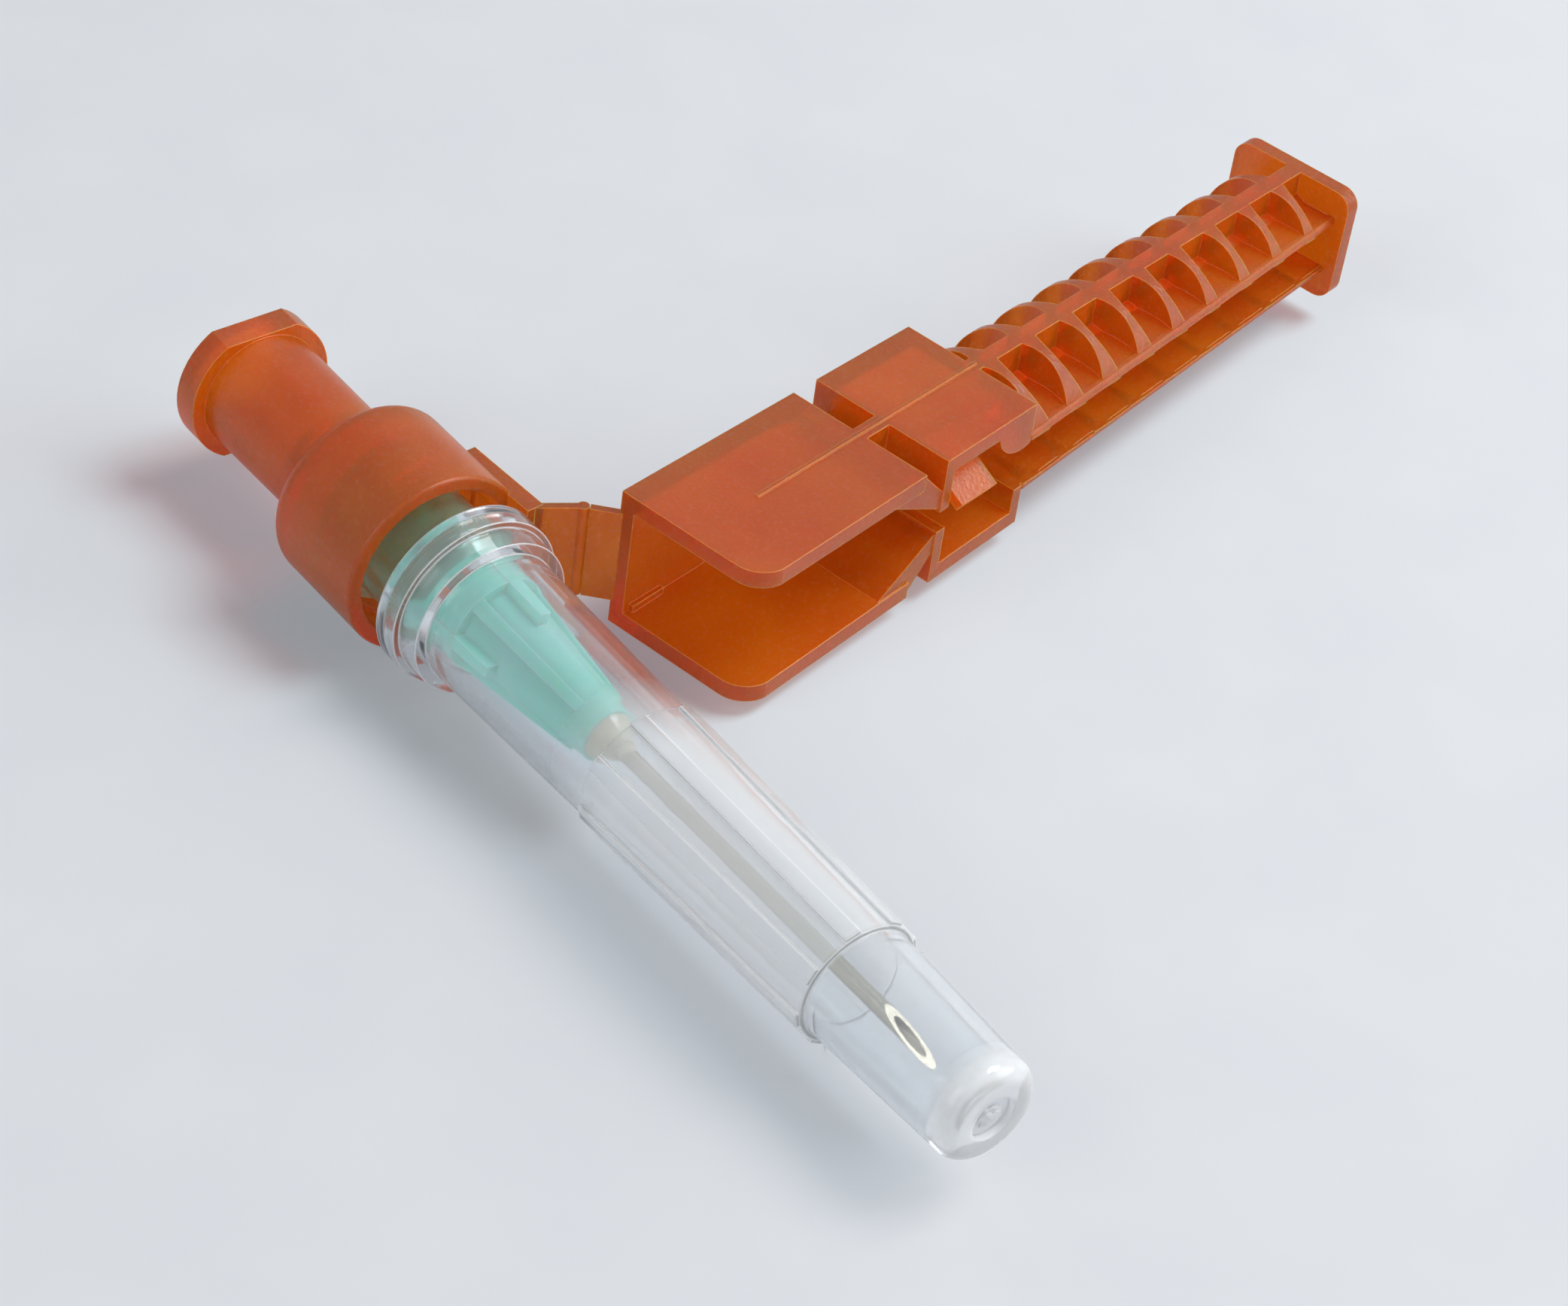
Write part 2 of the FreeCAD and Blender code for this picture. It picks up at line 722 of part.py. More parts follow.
end_half_w = narrowed(T.half_w, T.far_end)
end_half_h = narrowed(T.half_h, T.far_end)
end_pieces = [
    box(
        "end_wide",
        (MID - end_half_w, plate_near, -end_half_h + T.end_corner),
        (MID + end_half_w, T.far_end, end_half_h - T.end_corner),
    ),
    box(
        "end_tall",
        (MID - end_half_w + T.end_corner, plate_near, -end_half_h),
        (MID + end_half_w - T.end_corner, T.far_end, end_half_h),
    ),
]
for word, sx, sz in (("a", 1, 1), ("b", 1, -1), ("c", -1, 1), ("d", -1, -1)):
    end_pieces.append(
        round_bar(
            f"end_corner_{word}",
            (MID + (end_half_w - T.end_corner) * sx, plate_near, (end_half_h - T.end_corner) * sz),
            T.end_plate,
            T.end_corner,
            T.end_corner,
            ALONG_Y,
        )
    )
end_cap = joined("end_cap", end_pieces)

raised_line = wedge(
    "raised_line",
    T.near_end + 4.6,
    T.block_end + 0.2,
    (MID - T.centre_line_half, MID + T.centre_line_half, 3.0, top(T.near_end + 4.6) + T.centre_line),
    (MID - T.centre_line_half, MID + T.centre_line_half, 3.0, top(T.block_end + 0.2) + T.centre_line),
)
foot_line = wedge(
    "foot_line",
    T.near_end + 0.4,
    T.near_end + 2.6,
    (back(T.near_end, T.wall - 0.1), back(T.near_end, T.wall + 0.3), -T.half_h + 0.5, -T.half_h + 1.35),
    (back(T.near_end, T.wall - 0.1), back(T.near_end, T.wall + 0.3), -T.half_h + 0.5, -T.half_h + 1.35),
)

film_start = T.crease_r + T.hinge_gap
film_run = length_of(T.back_out + 0.35, T.near_end + 0.35)
film_x = (T.back_out + 0.35) / film_run
film_y = (T.near_end + 0.35) / film_run
guard_film = slab(
    "guard_film",
    (film_x * film_start, film_y * film_start),
    (T.back_out + 0.35, T.near_end + 0.35),
    T.film,
    -T.strap_half,
    T.strap_half,
)
guard_plain = joined(
    "guard_plain",
    [hub_part, neck_back, block_cut, latch, boss, channel, end_cap, raised_line, foot_line, guard_film]
    + ramps
    + shoulders
    + bridge,
)
needle_guard = cut(
    "needle_guard",
    guard_plain,
    round_bar(
        "crease_room",
        (0, 0, -T.half_h - 1),
        T.half_h * 2 + 2,
        T.crease_r + T.hinge_gap,
        T.crease_r + T.hinge_gap,
        ALONG_Z,
    ),
)
needle_guard.Placement = Placement(Vector(0, 0, 0), Rotation(Vector(0, 0, 1), 10))
bind(needle_guard, "Placement.Rotation.Angle", T.open_angle - 90)
place(needle_guard, T.hinge_x, T.hinge_y, 0)

# The hub, with its socket on the male luer cone.

male_fall = (T.male_root_r - T.male_tip_r) / (T.male_tip - T.collar_floor)


def male_r(station):
    return T.male_root_r - male_fall * (as_size(station) - T.collar_floor)


well_start = T.hub_nose - T.well_deep
hub_turned = turned(
    "hub_body",
    [
        (T.hub_rear, male_r(T.hub_rear)),
        (T.hub_rear, T.hub_skirt_r),
        (T.hub_skirt_end, T.hub_skirt_r),
        (T.hub_seat, T.hub_seat_r),
        (T.hub_step, T.hub_seat_r - 0.05),
        (T.hub_step, T.hub_neck_r),
        (T.hub_nose, T.hub_nose_r),
        (T.hub_nose, T.well_r),
        (well_start, T.well_r),
        (well_start, T.cannula_r),
        (T.cannula_rear, T.cannula_r),
        (T.cannula_rear, 1.2),
        (T.male_tip + 0.3, male_r(T.male_tip)),
        (T.male_tip, male_r(T.male_tip)),
    ],
)
lug_disc = round_bar("lug_disc", (T.hub_rear, 0, 0), T.lug_end - T.hub_rear, T.lug_r, T.lug_r, ALONG_X)
lug_slab = box(
    "lug_slab", (T.hub_rear - 1, -T.lug_half, -T.lug_r - 1), (T.lug_end + 1, T.lug_half, T.lug_r + 1)
)
lugs_solid = shared("lugs_solid", [lug_disc, lug_slab])
lug_bore = round_bar("lug_bore", (T.hub_rear - 1, 0, 0), T.lug_end - T.hub_rear + 2, 2.6, 2.6, ALONG_X)
lugs = cut("lugs", lugs_solid, lug_bore)


def fin(name, x0, x1, r0, r1, inner, angle):
    """A tapered fin along X that stands out from the hub at this angle about X."""
    item = doc.addObject("Part::Wedge", name)
    half = T.fin_thick / 2
    values = {
        "Xmin": -half,
        "Xmax": half,
        "Zmin": inner,
        "Zmax": r0,
        "X2min": -half * 0.7,
        "X2max": half * 0.7,
        "Z2min": inner,
        "Z2max": r1,
        "Ymin": 0.0,
        "Ymax": as_size(x1) - x0,
    }
    for prop, size in values.items():
        bind(item, prop, size)
    turn = Rotation(Vector(1, 0, 0), angle) * Rotation(Vector(0, 0, 1), -90)
    item.Placement = Placement(Vector(0, 0, 0), turn)
    place(item, x0, 0, 0)
    return item


fins = []
for i in range(4):
    start = T.hub_seat + 0.3
    around = 35 + 90 * i
    fins.append(fin(f"long_fin_{i + 1}", start, T.hub_nose - T.fin_short, T.fin_r, T.fin_end_r, 1.3, around))
    fins.append(fin(f"short_fin_{i + 1}", start, T.short_fin_end, T.fin_r, T.fin_r - 0.2, 1.5, 80 + 90 * i))
hub_solid = joined("hub_solid", [hub_turned, lugs] + fins)
hub_well = round_bar("hub_well", (well_start, 0, 0), T.well_deep + 1, T.well_r, T.well_r, ALONG_X)
needle_hub = cut("needle_hub", hub_solid, hub_well)

# The adhesive bead round the cannula.

bead_end = T.hub_nose + T.bead_long
adhesive_bead = turned(
    "adhesive_bead",
    [
        (well_start, T.cannula_r),
        (well_start, T.well_r),
        (T.hub_nose, T.well_r),
        (T.hub_nose, T.hub_nose_r - 0.15),
        (T.hub_nose + 0.55, T.hub_nose_r - 0.4),
        (bead_end, T.cannula_r + 0.2),
        (bead_end, T.cannula_r),
    ],
)

# The cannula, with its bevel facing up.

cannula_tube = turned(
    "cannula_tube",
    [
        (T.cannula_rear, T.lumen_r),
        (T.cannula_rear, T.cannula_r),
        (T.cannula_tip, T.cannula_r),
        (T.cannula_tip, T.lumen_r),
    ],
)
bevel_tool = doc.addObject("Part::Box", "bevel_tool")
bind(bevel_tool, "Length", 8.0)
bind(bevel_tool, "Width", T.cannula_r * 4)
bind(bevel_tool, "Height", 3.0)
bevel_tool.Placement = Placement(Vector(0, 0, 0), Rotation(Vector(0, 1, 0), 13))
bind(bevel_tool, "Placement.Rotation.Angle", T.bevel_angle)
bevel_run = Size(f"cos({T.bevel_angle.text})", math.cos(math.radians(T.bevel_angle.number))) * 6
bevel_rise = Size(f"sin({T.bevel_angle.text})", math.sin(math.radians(T.bevel_angle.number))) * 6
place(bevel_tool, T.cannula_tip - bevel_run, -T.cannula_r * 2, -T.cannula_r + bevel_rise)
cannula = cut("cannula", cannula_tube, bevel_tool)

# The cap.

cap_tip = T.cannula_tip + T.cap_room + T.cap_floor
cap_turned = turned(
    "cap_body",
    [
        (T.cap_rear, T.cap_mouth_r),
        (T.cap_rear, T.flange_r),
        (T.flange_end, T.flange_r - 0.05),
        (T.flange_end, T.tier_r),
        (T.tier_end, T.tier_r - 0.05),
        (T.tier_end, T.cap_r),
        (T.grip_start, T.cap_mid_r),
        (T.grip_start, T.cap_mid_r + T.grip_up),
        (T.grip_end, T.cap_late_r + T.grip_up),
        (T.grip_end, T.tip_r),
        (cap_tip, T.tip_end_r),
        (cap_tip, T.gate_r),
        (cap_tip - T.gate_deep, T.gate_r),
        (cap_tip - T.gate_deep, 0),
        (cap_tip - T.cap_floor, 0),
        (cap_tip - T.cap_floor, T.tip_end_r - T.cap_wall),
        (T.grip_end, T.tip_r - T.cap_wall),
        (T.grip_start, T.cap_mid_r - T.cap_wall),
        (T.tier_end, T.cap_r - T.cap_wall),
        (T.flange_end - 0.3, T.cap_mouth_r - 0.1),
    ],
)
round_off(cap_turned, T.tip_round, [(cap_tip, T.tip_end_r)])

ridges = []
for i in range(8):
    item = doc.addObject("Part::Wedge", f"ridge_{i + 1}")
    half = T.ridge_wide / 2
    values = {
        "Xmin": -half,
        "Xmax": half,
        "Zmin": T.cap_mid_r - 0.35,
        "Zmax": T.cap_mid_r + T.grip_up + T.ridge_up,
        "X2min": -half,
        "X2max": half,
        "Z2min": T.cap_late_r - 0.35,
        "Z2max": T.cap_late_r + T.grip_up + T.ridge_up,
        "Ymin": 0.0,
        "Ymax": T.grip_end - T.grip_start - 0.1,
    }
    for prop, size in values.items():
        bind(item, prop, size)
    turn = Rotation(Vector(1, 0, 0), 12 + 45 * i) * Rotation(Vector(0, 0, 1), -90)
    item.Placement = Placement(Vector(0, 0, 0), turn)
    place(item, T.grip_start + 0.05, 0, 0)
    ridges.append(item)
needle_cap = joined("needle_cap", [cap_turned] + ridges)

NODES = {
    "luer_adapter": luer_adapter,
    "hinge_strap": hinge_strap,
    "needle_guard": needle_guard,
    "needle_hub": needle_hub,
    "adhesive_bead": adhesive_bead,
    "cannula": cannula,
    "needle_cap": needle_cap,
}

doc.recompute()
for item in doc.Objects:
    if "Invalid" in item.State or "Error" in item.State:
        raise RuntimeError(f"{item.Name} did not build: {item.State}")

os.makedirs("parts", exist_ok=True)
for label, item in NODES.items():
    item.Label = label
    shape = item.Shape
    if shape.isNull() or not shape.isValid():
        raise RuntimeError(f"{label} has no valid shape")
    box_now = shape.BoundBox
    print(
        f"{label}: {len(shape.Solids)} solid(s), {shape.Volume:.2f} mm3,",
        f"x {box_now.XMin:.2f} to {box_now.XMax:.2f},",
        f"y {box_now.YMin:.2f} to {box_now.YMax:.2f},",
        f"z {box_now.ZMin:.2f} to {box_now.ZMax:.2f}",
    )
    shape.exportStep(os.path.join("parts", label + ".step"))
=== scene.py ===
# %% [markdown]
# A safety hypodermic needle, dressed for its portrait.
# The real thing is four moulded or drawn parts: an orange polypropylene body with a swing-over guard,
# a mint green hub, a steel tube glued into it and a clear cap. Their shapes come from the imported model,
# so this lesson is about light, a camera that stands where the photographer stood, and plastics that
# let light in. The imported model's pieces stay where they are.

# %% Load the imported model
import math

import bmesh
import bpy
from mathutils import Matrix, Vector, noise


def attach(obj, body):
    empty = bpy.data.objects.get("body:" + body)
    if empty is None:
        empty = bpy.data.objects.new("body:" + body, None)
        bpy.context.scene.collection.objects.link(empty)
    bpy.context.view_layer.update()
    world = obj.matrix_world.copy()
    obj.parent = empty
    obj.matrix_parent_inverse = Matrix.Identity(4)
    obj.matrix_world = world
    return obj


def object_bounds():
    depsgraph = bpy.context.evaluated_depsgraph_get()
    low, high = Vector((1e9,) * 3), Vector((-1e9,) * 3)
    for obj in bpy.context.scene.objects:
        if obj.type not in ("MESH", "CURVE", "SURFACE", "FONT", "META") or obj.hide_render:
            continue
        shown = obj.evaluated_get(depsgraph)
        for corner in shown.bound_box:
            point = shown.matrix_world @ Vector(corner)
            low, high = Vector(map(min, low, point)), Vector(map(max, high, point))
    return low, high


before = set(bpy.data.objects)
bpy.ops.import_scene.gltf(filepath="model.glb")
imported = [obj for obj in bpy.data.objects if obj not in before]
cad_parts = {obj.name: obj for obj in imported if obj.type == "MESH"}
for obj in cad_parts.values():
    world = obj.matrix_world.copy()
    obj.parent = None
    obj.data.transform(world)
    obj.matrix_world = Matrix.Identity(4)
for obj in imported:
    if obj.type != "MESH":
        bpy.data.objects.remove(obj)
cad_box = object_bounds()
MM = 0.001

# %% [markdown]
# The camera was found by fitting the part's own circles and edges to the photograph. A long lens from
# about twenty centimetres away sees the needle from above its point, tilted a little to the right.
# It could be aimed with a track-to constraint, but the fit gives its axes directly, so the matrix is
# built from them.

# %% Stand the camera where the photographer stood
EYE = Vector((141.6, -93.48, 128.96)) * MM
BEARING = math.radians(136.85)
DIP = math.radians(40.27)
ROLL = math.radians(8.61)
sight = Vector((math.cos(DIP) * math.cos(BEARING), math.cos(DIP) * math.sin(BEARING), -math.sin(DIP)))
level_right = sight.cross(Vector((0, 0, 1))).normalized()
level_up = level_right.cross(sight)
right = level_right * math.cos(ROLL) + level_up * math.sin(ROLL)
up = level_up * math.cos(ROLL) - level_right * math.sin(ROLL)

lens = bpy.data.cameras.new("photo_camera")
lens.sensor_fit = "HORIZONTAL"
lens.sensor_width = 36
lens.lens = 97.25
lens.clip_start = 0.01
lens.clip_end = 10
camera = bpy.data.objects.new("photo_camera", lens)
bpy.context.scene.collection.objects.link(camera)
camera.matrix_world = Matrix.Translation(EYE) @ Matrix((right, up, -sight)).transposed().to_4x4()
bpy.context.scene.camera = camera
bpy.context.scene.view_settings.view_transform = "Standard"
print("camera at", [round(c / MM, 1) for c in EYE], "mm")

# %% [markdown]
# A few small helpers carry the whole lesson. One turns the colour codes that people read into the
# linear light that a renderer adds up, one makes a node with its settings, values and links in a single
# call, and one starts an empty material. The rest make what every plastic here needs: noise of a given
# size, a two-colour ramp over it, and a value that changes along the needle. Longer code would set each
# socket on a line of its own.

# %% One function for every node, and one for every colour


def linear(code, alpha=1.0):
    """An sRGB hex colour as Blender's linear red, green, blue and alpha."""
    parts = [int(code[i:i + 2], 16) / 255 for i in (1, 3, 5)]
    return tuple(c / 12.92 if c <= 0.04045 else ((c + 0.055) / 1.055) ** 2.4 for c in parts) + (alpha,)


def add(tree, kind, values=None, links=None, **settings):
    """One new node with its settings, its sockets' values and the sockets that feed it."""
    made = tree.nodes.new(kind)
    for name, value in settings.items():
        setattr(made, name, value)
    for socket, value in (values or {}).items():
        made.inputs[socket].default_value = value
    for socket, source in (links or {}).items():
        tree.links.new(source, made.inputs[socket])
    return made


def blank_material(name):
    """A material with an empty node tree, and its output node."""
    material = bpy.data.materials.new(name)
    material.use_nodes = True
    material.node_tree.nodes.clear()
    return material, material.node_tree, add(material.node_tree, "ShaderNodeOutputMaterial")


def noise_of(tree, vector, size=None, detail=2.0):
    """Noise whose features are about this many millimetres wide, or as wide as the vector makes them."""
    scale = 1 / (size * MM) if size else 1.0
    made = add(tree, "ShaderNodeTexNoise", {"Scale": scale, "Detail": detail}, {"Vector": vector})
    return made.outputs["Fac"]


def two_tone(tree, factor, first, second):
    """A ramp between two sRGB hex colours."""
    made = add(tree, "ShaderNodeValToRGB", links={"Fac": factor})
    for stop, code in zip(made.color_ramp.elements, (first, second)):
        stop.color = linear(code)
    return made


def ranged(tree, source, low, high, start=0.0, end=1.0):
    """The source's span from start to end, mapped to low and high and held there beyond it."""
    spans = {"From Min": start, "From Max": end, "To Min": low, "To Max": high}
    return add(tree, "ShaderNodeMapRange", spans, {"Value": source}).outputs["Result"]


def tinted(tree, factor, base, code):
    """The base colour, taken towards an sRGB hex colour by the factor."""
    return add(tree, "ShaderNodeMix", {"B": linear(code)}, {"Factor": factor, "A": base},
               data_type="RGBA").outputs["Result"]


def combined(tree, first, second, operation="ADD"):
    """Two values in one, by default their sum."""
    return add(tree, "ShaderNodeMath", links={0: first, 1: second}, operation=operation).outputs["Value"]


print("eight helpers ready")

# %% [markdown]
# The needle lies on a plain pale table. A plane is enough for it, but a wide one, so that its far edge
# never shows. It carries the object's shadow, and bounces light back up into the clear cap.

# %% Lay the table
paper, tree, out = blank_material("matte_table_laminate")
place = add(tree, "ShaderNodeTexCoord").outputs["Object"]
mottle = two_tone(tree, noise_of(tree, place, 9, 3.0), "#DDE1E6", "#E6E8EB")
face = add(tree, "ShaderNodeBsdfPrincipled", {"Roughness": 0.9, "Specular IOR Level": 0.15},
           {"Base Color": mottle.outputs["Color"]})
tree.links.new(face.outputs["BSDF"], out.inputs["Surface"])

low, high = Vector(cad_box[0]), Vector(cad_box[1])
centre = (low + high) / 2
table_mesh = bmesh.new()
bmesh.ops.create_grid(table_mesh, x_segments=1, y_segments=1, size=1.5)
table_data = bpy.data.meshes.new("table")
table_mesh.to_mesh(table_data)
table_mesh.free()
table = bpy.data.objects.new("table", table_data)
table.location = (centre.x, centre.y, low.z)
table.data.materials.append(paper)
bpy.context.scene.collection.objects.link(table)
print("table at z", round(low.z / MM, 2), "mm")

# %% [markdown]
# Soft studio light. The photograph's shadows are short and fall towards the lower left, so the large
# key panel hangs high on the right, a little behind the object. A low panel further right draws the
# bright rims of the ribs, a fill panel on the near left opens the pockets between them, a weak one
# behind puts a soft sheen on the matte tops, and the world fills the shadows. Together they light the
# table so that its colour renders about as it is written. The world has two levels: a bright one where
# it is seen, mirrored or looked at through plastic, and a dimmer one for the light it gives, so that
# the shadows stay.

# %% Hang the light panels


def light_panel(name, toward, distance, width, watts):
    """A square white area light on the given side of the object, facing it."""
    data = bpy.data.lights.new(name, "AREA")
    data.size = width
    data.energy = watts
    panel = bpy.data.objects.new(name, data)
    side = Vector(toward).normalized()
    panel.location = centre + side * distance
    panel.rotation_euler = side.to_track_quat("Z", "Y").to_euler()
    bpy.context.scene.collection.objects.link(panel)


away = Vector((sight.x, sight.y, 0)).normalized()
aside = level_right
overhead = Vector((0, 0, 1))
light_panel("key_panel", aside * 0.5 + away * 0.2 + overhead * 0.9, 0.55, 0.24, 1.8)
light_panel("rim_panel", aside * 0.9 + away * 0.05 + overhead * 0.45, 0.5, 0.3, 0.85)
light_panel("fill_panel", aside * -0.55 - away * 0.45 + overhead * 0.5, 0.5, 0.3, 0.5)
light_panel("sheen_panel", away * 1.0 + overhead * 0.9, 0.6, 0.4, 0.12)

world = bpy.data.worlds.new("studio_air")
world.use_nodes = True
world.node_tree.nodes.clear()
looks = add(world.node_tree, "ShaderNodeLightPath")
seen = combined(world.node_tree, looks.outputs["Is Camera Ray"], looks.outputs["Is Glossy Ray"], "MAXIMUM")
seen = combined(world.node_tree, seen, looks.outputs["Is Transmission Ray"], "MAXIMUM")
LIGHT_GIVEN, LIGHT_SEEN = 0.27, 0.58
level = ranged(world.node_tree, seen, LIGHT_GIVEN, LIGHT_SEEN)
air = add(world.node_tree, "ShaderNodeBackground", {"Color": linear("#EEF2F8")}, {"Strength": level})
add(world.node_tree, "ShaderNodeOutputWorld", links={"Surface": air.outputs["Background"]})
bpy.context.scene.world = world

# %% [markdown]
# The orange moulding is polypropylene with a little orange pigment. Light goes a few millimetres into
# it, so a thin wall glows and a thick one turns deep red. A plain orange diffuse colour would look like
# painted card. Seven tenths of a flat face here is rough refraction into an absorbing volume, which
# darkens with the real thickness of each wall. The rest is subsurface scattering with a long red path,
# and a rim is nearly all that. The mould was spark-eroded on its flat faces, which leaves a matte grain.
# Two helpers come first, because the hub and the cap use them too. Refraction stops lamp light, so a
# ray towards a lamp goes straight through and only takes on the colour.

# %% Let lamp light through a clear or tinted plastic


def lamp_rays_pass(tree, surface, tint):
    """The surface, with a tinted opening in it for the rays that look for a lamp."""
    opening = add(tree, "ShaderNodeBsdfTransparent", {"Color": linear(tint)})
    to_lamp = add(tree, "ShaderNodeLightPath").outputs["Is Shadow Ray"]
    mixed = add(tree, "ShaderNodeMixShader", links={0: to_lamp, 1: surface, 2: opening.outputs["BSDF"]})
    return mixed.outputs["Shader"]


print("helper ready: lamp_rays_pass")

# %% [markdown]
# A moulded rim is never sharp, and it catches the light. A bevelled normal that turns away from the
# flat one shows where a rim is, without a single extra face in the mesh. The orange and the green plastics
# also use this mask to paint a paler highlight along their rims.

# %% Find the rims of a moulding
FLAT_ENOUGH = 0.02


def rim_mask(tree, radius, reach=0.25):
    """A rounded normal, and a mask that is 1 where it turns away from the flat face: along a rim."""
    rounded = add(tree, "ShaderNodeBevel", {"Radius": radius}, samples=6)
    flat = add(tree, "ShaderNodeNewGeometry")
    same = add(tree, "ShaderNodeVectorMath", {}, {0: rounded.outputs["Normal"], 1: flat.outputs["Normal"]},
               operation="DOT_PRODUCT")
    mask = ranged(tree, same.outputs["Value"], 0.0, 1.0, 1.0 - FLAT_ENOUGH, 1.0 - reach)
    return rounded.outputs["Normal"], mask


print("helper ready: rim_mask, flat up to a turn of", FLAT_ENOUGH)

# %% [markdown]
# Now the orange itself. Slow clouds shift the pigment, fine peaks of the grain catch a paler tone, and
# the rims are smoother and get a painted highlight: a paler orange laid along them.

# %% Orange polypropylene
orange, tree, out = blank_material("orange_polypropylene_moulded")
place = add(tree, "ShaderNodeTexCoord").outputs["Object"]
rounded, rim = rim_mask(tree, 0.1 * MM)
hue = two_tone(tree, noise_of(tree, place, 5), "#EA7C0C", "#F49412")
hue.color_ramp.elements[0].position = 0.3
hue.color_ramp.elements[1].position = 0.7
grain = noise_of(tree, place, 0.22, 3.0)
speckled = tinted(tree, ranged(tree, grain, 0.0, 0.3, 0.52, 0.74), hue.outputs["Color"], "#FFC070")
# Painted highlight: every rim is tinted a paler orange, as if it caught the light.
painted_rim_highlight = tinted(tree, rim, speckled, "#FF9E50")
skin = add(tree, "ShaderNodeBump", {"Strength": 0.9, "Distance": 0.035 * MM},
           {"Height": grain, "Normal": rounded})
face = add(tree, "ShaderNodeBsdfPrincipled",
           {"IOR": 1.49, "Subsurface Weight": 1.0, "Subsurface Radius": (1.0, 0.3, 0.04),
            "Subsurface Scale": 0.8 * MM, "Specular IOR Level": 0.4},
           {"Base Color": painted_rim_highlight, "Roughness": ranged(tree, rim, 0.33, 0.16),
            "Transmission Weight": ranged(tree, rim, 0.7, 0.05), "Normal": skin.outputs["Normal"]})
depth = add(tree, "ShaderNodeVolumeAbsorption", {"Color": linear("#FDAE24"), "Density": 1150})
tree.links.new(lamp_rays_pass(tree, face.outputs["BSDF"], "#D0A478"), out.inputs["Surface"])
tree.links.new(depth.outputs["Volume"], out.inputs["Volume"])
print(orange.name, "has", len(tree.nodes), "nodes")

# %% [markdown]
# The hub is polypropylene too, tinted mint green, and glossier because its mould is polished. It is
# clearer where its wall is thin, over the orange cone, so that the cone shows as a brown shadow.

# %% Green polypropylene
green, tree, out = blank_material("green_polypropylene_moulded")
place = add(tree, "ShaderNodeTexCoord").outputs["Object"]
rounded, rim = rim_mask(tree, 0.06 * MM)
hue = two_tone(tree, noise_of(tree, place, 3), "#93F5DA", "#C4FFF0")
# Painted highlight: every rim is tinted a near-white mint, as if it caught the light.
painted_rim_highlight = tinted(tree, rim, hue.outputs["Color"], "#ECFFFA")
from_mouth = add(tree, "ShaderNodeSeparateXYZ", links={"Vector": place}).outputs["X"]
open_share = ranged(tree, from_mouth, 0.9, 0.24, 19.6 * MM, 22.0 * MM)
face = add(tree, "ShaderNodeBsdfPrincipled",
           {"IOR": 1.49, "Roughness": 0.1, "Subsurface Weight": 1.0, "Subsurface Radius": (0.35, 1.0, 0.8),
            "Subsurface Scale": 0.3 * MM},
           {"Base Color": painted_rim_highlight, "Transmission Weight": open_share, "Normal": rounded})
tree.links.new(lamp_rays_pass(tree, face.outputs["BSDF"], "#B4BAB8"), out.inputs["Surface"])
print(green.name, "has", len(tree.nodes), "nodes")

# %% [markdown]
# The bead that holds the tube is cured adhesive: cream, smooth and a little glassy.

# %% Cured adhesive
cream, tree, out = blank_material("cured_adhesive")
place = add(tree, "ShaderNodeTexCoord").outputs["Object"]
hue = two_tone(tree, noise_of(tree, place, 1.2), "#E6DFC2", "#F3EFDC")
face = add(tree, "ShaderNodeBsdfPrincipled",
           {"IOR": 1.5, "Roughness": 0.12, "Subsurface Weight": 0.8, "Subsurface Radius": (1.0, 0.9, 0.6),
            "Subsurface Scale": 0.6 * MM, "Transmission Weight": 0.25},
           {"Base Color": hue.outputs["Color"]})
tree.links.new(face.outputs["BSDF"], out.inputs["Surface"])
print(cream.name, "has", len(tree.nodes), "nodes")

# %% [markdown]
# The tube is stainless steel, drawn through a die, so its fine scratches run along it. A noise that is
# stretched along the tube draws them. Steel is a little warmer than the pale room it mirrors, which is
# what makes the tube stand out as a thin dark gold line inside the cap.

# %% Drawn stainless steel
steel, tree, out = blank_material("drawn_stainless_steel")
place = add(tree, "ShaderNodeTexCoord").outputs["Object"]
stretch = add(tree, "ShaderNodeMapping", {"Scale": (1 / (6 * MM), 1 / (0.08 * MM), 1 / (0.08 * MM))},
              {"Vector": place})
lines = noise_of(tree, stretch.outputs["Vector"], detail=3.0)
shade = two_tone(tree, lines, "#A89F8C", "#CFC7B4")
face = add(tree, "ShaderNodeBsdfPrincipled", {"Metallic": 1.0},
           {"Base Color": shade.outputs["Color"], "Roughness": ranged(tree, lines, 0.16, 0.34)})
tree.links.new(face.outputs["BSDF"], out.inputs["Surface"])
print(steel.name, "has", len(tree.nodes), "nodes")

# %% [markdown]
# The cap is natural polypropylene with no pigment. It isn't glass: crystals in it scatter a little of
# the light, so it looks milky. It has four zones along the needle: nearly clear over the hub, where the
# wall is thin, milky over the thick ridged part, clearer over the tip, and milky in the solid end. Light
# is scattered only where it enters the plastic and leaves it freely, or else four walls in a row would
# hide the tube.

